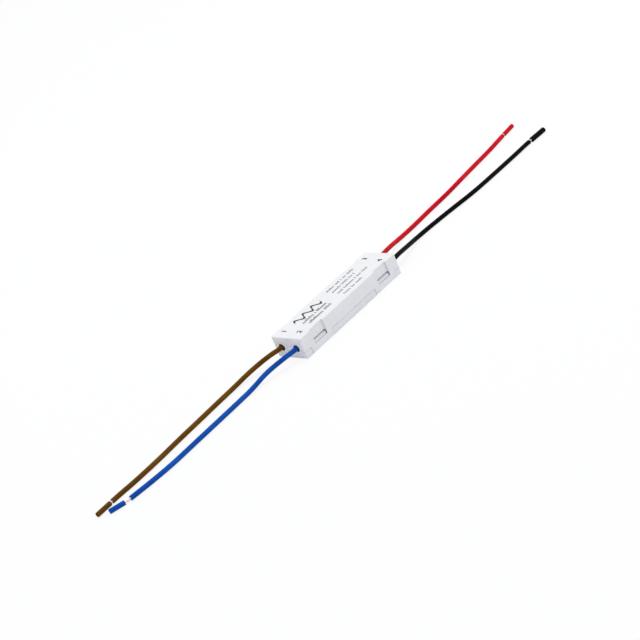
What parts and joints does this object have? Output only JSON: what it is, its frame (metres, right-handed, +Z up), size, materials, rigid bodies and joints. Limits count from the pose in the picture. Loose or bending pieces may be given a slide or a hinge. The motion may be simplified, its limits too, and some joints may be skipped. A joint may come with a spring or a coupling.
{
  "type": "switch decoupler module",
  "caption": "Slim white snap-shut housing with a circuit board inside and insulated wires that leave both ends with half-stripped tips.",
  "frame": {"origin": "centre of the housing's underside", "axes": "+X along the housing, from the end with the brown and blue wires to the end with the red and black wires; +Y across it, from the blue wire's side to the brown wire's side; +Z up, out of the cover's plain roof"},
  "size_m": [0.2789, 0.0261, 0.0088],
  "materials": {
    "cover_plastic": "fine satin moulding",
    "base_plastic": "fine satin moulding",
    "board_laminate": "solder mask over glass laminate",
    "capacitor_case": "smooth moulded case",
    "resistor_body": "dipped coating",
    "varistor_coating": "dipped epoxy",
    "moulded_black": "moulded epoxy",
    "moulded_white": "moulded epoxy",
    "capacitor_can": "sleeved can",
    "chip_body": "glazed",
    "chip_ceramic": "fired ceramic",
    "solder": "bright solder",
    "tinned_copper": "tinned fine strands",
    "brown_pvc": "smooth extruded insulation",
    "blue_pvc": "smooth extruded insulation",
    "red_pvc": "smooth extruded insulation",
    "black_pvc": "smooth extruded insulation"
  },
  "bodies": {
    "module": {"top_cover": "cover_plastic", "base": "base_plastic", "circuit_board": "board_laminate", "input_capacitor": "capacitor_case", "fusible_resistor": "resistor_body", "varistor": "varistor_coating", "bridge_rectifier": "moulded_black", "zener_diode": "moulded_black", "smoothing_capacitor": "capacitor_can", "chip_resistors": "chip_body", "chip_capacitors": "chip_ceramic", "optocoupler": "moulded_white", "output_transistor": "moulded_black", "solder_joints": "solder", "brown_insulation": "brown_pvc", "brown_conductor": "tinned_copper", "blue_insulation": "blue_pvc", "blue_conductor": "tinned_copper", "red_insulation": "red_pvc", "red_conductor": "tinned_copper", "black_insulation": "black_pvc", "black_conductor": "tinned_copper"},
    "brown_slug": {"brown_end_slug": "brown_pvc"},
    "blue_slug": {"blue_end_slug": "blue_pvc"},
    "red_slug": {"red_end_slug": "red_pvc"},
    "black_slug": {"black_end_slug": "black_pvc"}
  },
  "joints": [
    {"name": "brown_slug_pull", "type": "slide", "parent": "module", "child": "brown_slug", "axis": [-1, -0.009, 0], "range_m": [-0.0009, 0.0064]},
    {"name": "blue_slug_pull", "type": "slide", "parent": "module", "child": "blue_slug", "axis": [-0.93, 0.3675, 0], "range_m": [-0.0007, 0.0043]},
    {"name": "red_slug_pull", "type": "slide", "parent": "module", "child": "red_slug", "axis": [0.9939, 0.11, 0], "range_m": [-0.0014, 0.0067]},
    {"name": "black_slug_pull", "type": "slide", "parent": "module", "child": "black_slug", "axis": [0.9986, -0.0526, 0], "range_m": [-0.0011, 0.0084]}
  ]
}
